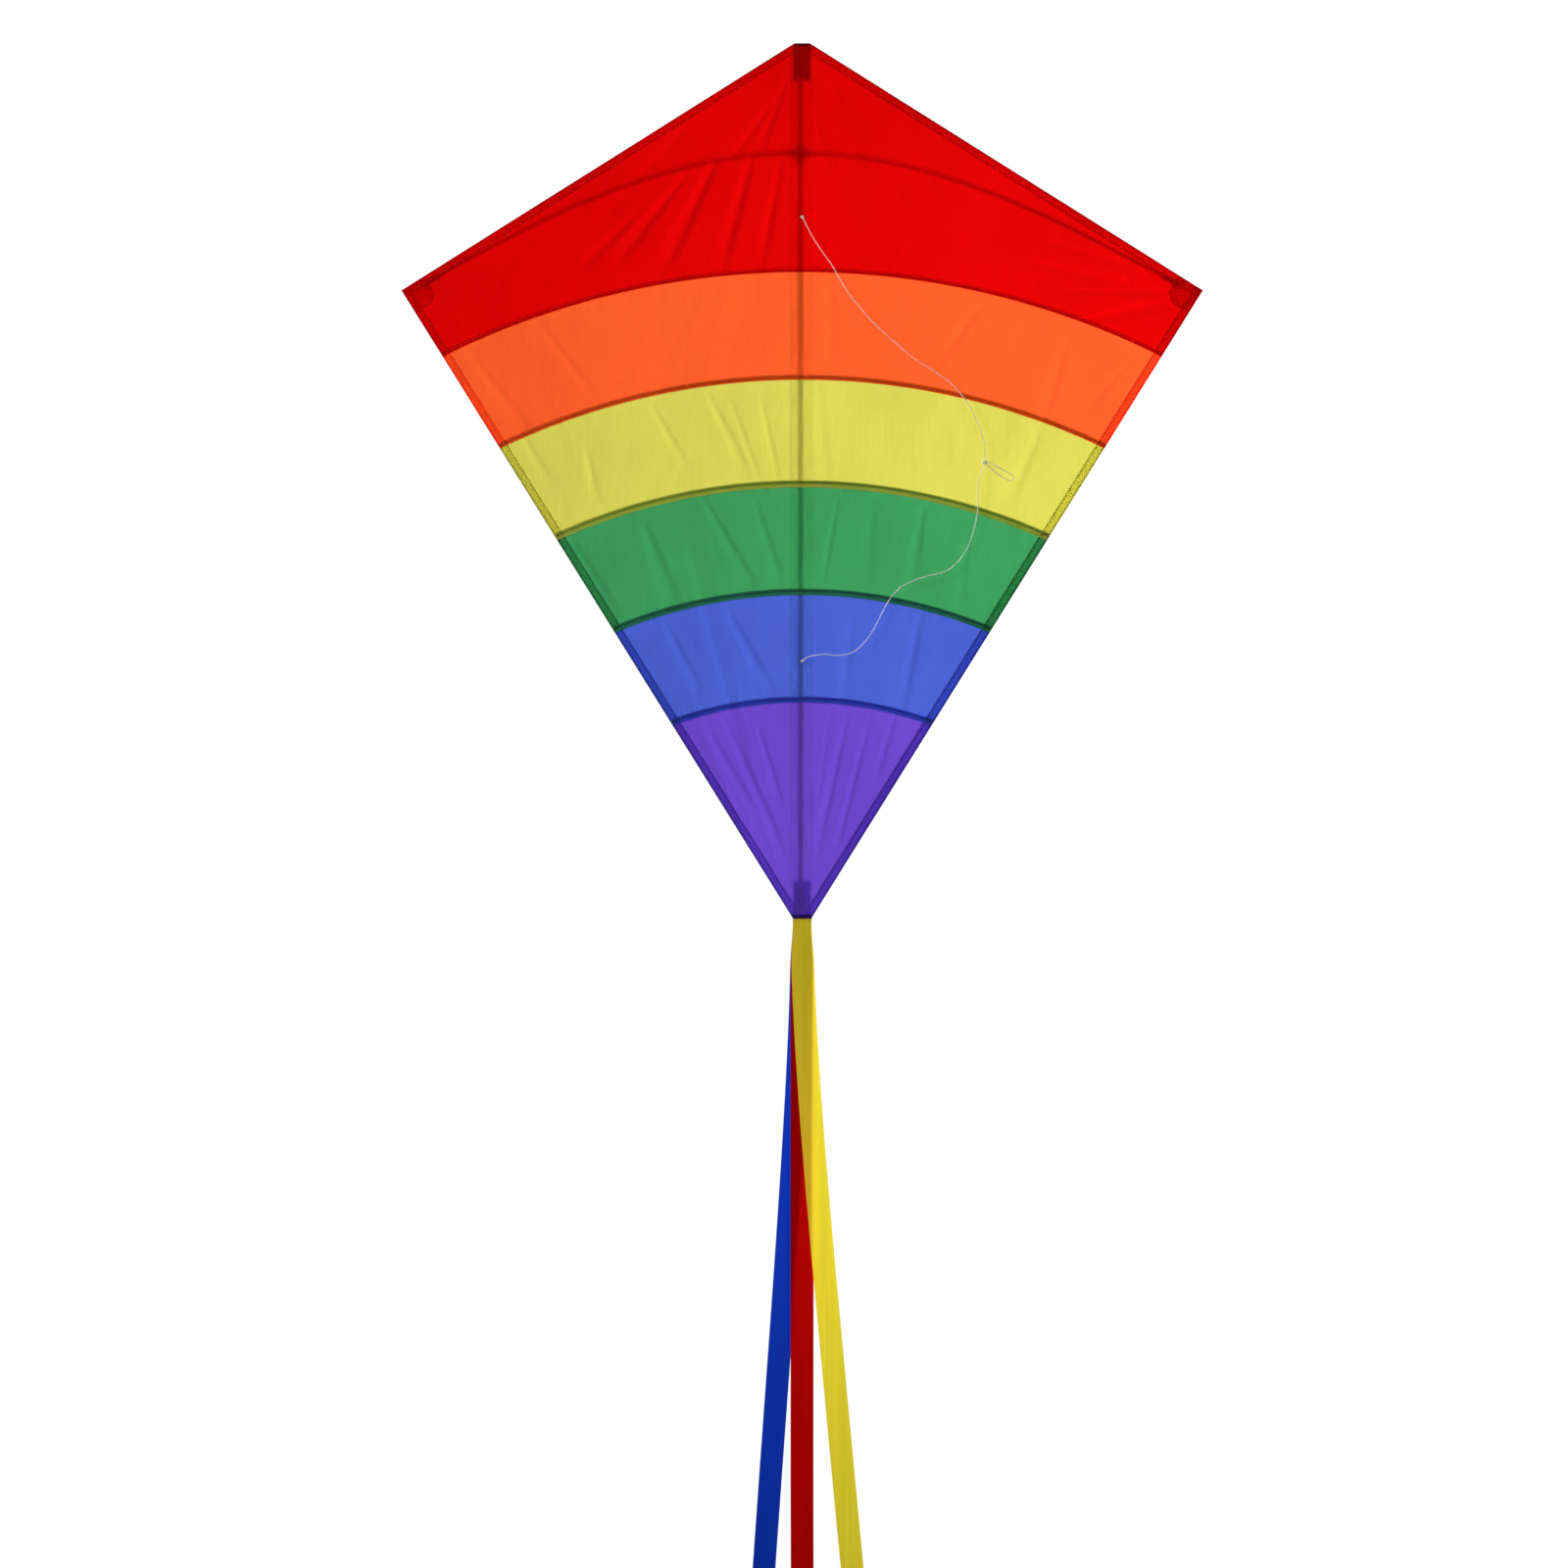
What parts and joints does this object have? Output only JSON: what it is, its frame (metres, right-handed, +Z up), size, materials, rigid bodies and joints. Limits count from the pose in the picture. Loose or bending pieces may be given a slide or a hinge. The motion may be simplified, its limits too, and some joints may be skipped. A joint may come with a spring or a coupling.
{
  "type": "diamond kite",
  "caption": "Diamond kite with arched colour panels on a thin spine and bowed spreader, a cord bridle at the front and ribbon tails at the foot, flown on a hand line.",
  "frame": {"origin": "where the two spars cross, on the flat back of the cross fitting", "axes": "+Z up the spine to the nose, +Y out of the back of the sail, so the bridle side faces -Y; +X to the viewer's right seen from the bridle side"},
  "size_m": [0.698, 0.018, 1.762],
  "materials": {
    "cloth_red": "satin",
    "cloth_orange": "satin",
    "cloth_yellow": "satin",
    "cloth_green": "satin",
    "cloth_blue": "satin",
    "cloth_purple": "satin",
    "patch_red": "matte",
    "patch_purple": "matte",
    "tape": "matte",
    "rod": "satin",
    "clear_vinyl": "satin",
    "vinyl": "matte",
    "cord": "matte",
    "ribbon_yellow": "satin",
    "ribbon_red": "satin",
    "ribbon_blue": "satin"
  },
  "bodies": {
    "airframe": {"spine_tape": "tape", "spine_rod": "rod", "spine_nose_cap": "vinyl", "spine_tail_cap": "vinyl", "spreader_centre": "rod", "cross_fitting": "clear_vinyl", "nose_pocket": "patch_red", "tail_pocket": "patch_purple", "bridle_tie_upper": "cord", "bridle_tie_lower": "cord"},
    "left_wing": {"sail_red_left": "cloth_red", "sail_orange_left": "cloth_orange", "sail_yellow_left": "cloth_yellow", "sail_green_left": "cloth_green", "sail_blue_left": "cloth_blue", "sail_purple_left": "cloth_purple", "spreader_left": "rod", "spreader_cap_left": "vinyl", "corner_pocket_left": "patch_red"},
    "right_wing": {"sail_red_right": "cloth_red", "sail_orange_right": "cloth_orange", "sail_yellow_right": "cloth_yellow", "sail_green_right": "cloth_green", "sail_blue_right": "cloth_blue", "sail_purple_right": "cloth_purple", "spreader_right": "rod", "spreader_cap_right": "vinyl", "corner_pocket_right": "patch_red"},
    "bridle": {"bridle_upper_leg": "cord", "bridle_lower_leg": "cord", "tow_knot": "cord", "tow_loop": "cord"},
    "tail_heads": {"tail_heads": "ribbon_yellow"},
    "yellow_tail": {"tail_yellow_upper": "ribbon_yellow"},
    "yellow_tail_end": {"tail_yellow_lower": "ribbon_yellow"},
    "red_tail": {"tail_red_upper": "ribbon_red"},
    "red_tail_end": {"tail_red_lower": "ribbon_red"},
    "blue_tail": {"tail_blue_upper": "ribbon_blue"},
    "blue_tail_end": {"tail_blue_lower": "ribbon_blue"}
  },
  "joints": [
    {"name": "left_wing_flex", "type": "hinge", "parent": "airframe", "child": "left_wing", "pos_m": [-0.0093, -0.0036, 0], "axis": [0, 0, -1], "range_deg": [0, 20], "stiffness_Nm_per_rad": 0.5},
    {"name": "right_wing_flex", "type": "hinge", "parent": "airframe", "child": "right_wing", "pos_m": [0.0093, -0.0036, 0], "axis": [0, 0, 1], "range_deg": [0, 20], "stiffness_Nm_per_rad": 0.5},
    {"name": "bridle_swing", "type": "hinge", "parent": "airframe", "child": "bridle", "pos_m": [0, -0.0136, -0.247], "axis": [0, 0, -1], "range_deg": [0, 175]},
    {"name": "tail_swing", "type": "hinge", "parent": "airframe", "child": "tail_heads", "pos_m": [0, -0.0109, -0.6654], "axis": [1, 0, 0], "range_deg": [-35, 60]},
    {"name": "yellow_tail_sway", "type": "hinge", "parent": "tail_heads", "child": "yellow_tail", "pos_m": [0, -0.0118, -0.6883], "axis": [0, -1, 0], "range_deg": [-10, 10]},
    {"name": "red_tail_sway", "type": "hinge", "parent": "tail_heads", "child": "red_tail", "pos_m": [0, -0.0109, -0.6883], "axis": [0, -1, 0], "range_deg": [-10, 10]},
    {"name": "blue_tail_sway", "type": "hinge", "parent": "tail_heads", "child": "blue_tail", "pos_m": [0, -0.01, -0.6883], "axis": [0, -1, 0], "range_deg": [-10, 10]},
    {"name": "yellow_tail_bend", "type": "hinge", "parent": "yellow_tail", "child": "yellow_tail_end", "pos_m": [0.03757, -0.0148, -1.164], "axis": [1, 0, 0], "range_deg": [-30, 40]},
    {"name": "red_tail_bend", "type": "hinge", "parent": "red_tail", "child": "red_tail_end", "pos_m": [0, -0.0109, -1.164], "axis": [1, 0, 0], "range_deg": [-30, 40]},
    {"name": "blue_tail_bend", "type": "hinge", "parent": "blue_tail", "child": "blue_tail_end", "pos_m": [-0.02864, -0.007, -1.164], "axis": [1, 0, 0], "range_deg": [-30, 40]}
  ],
  "couplings": [
    {"joint": "yellow_tail_bend", "follows": "red_tail_bend", "ratio": 1},
    {"joint": "blue_tail_bend", "follows": "red_tail_bend", "ratio": 1}
  ]
}
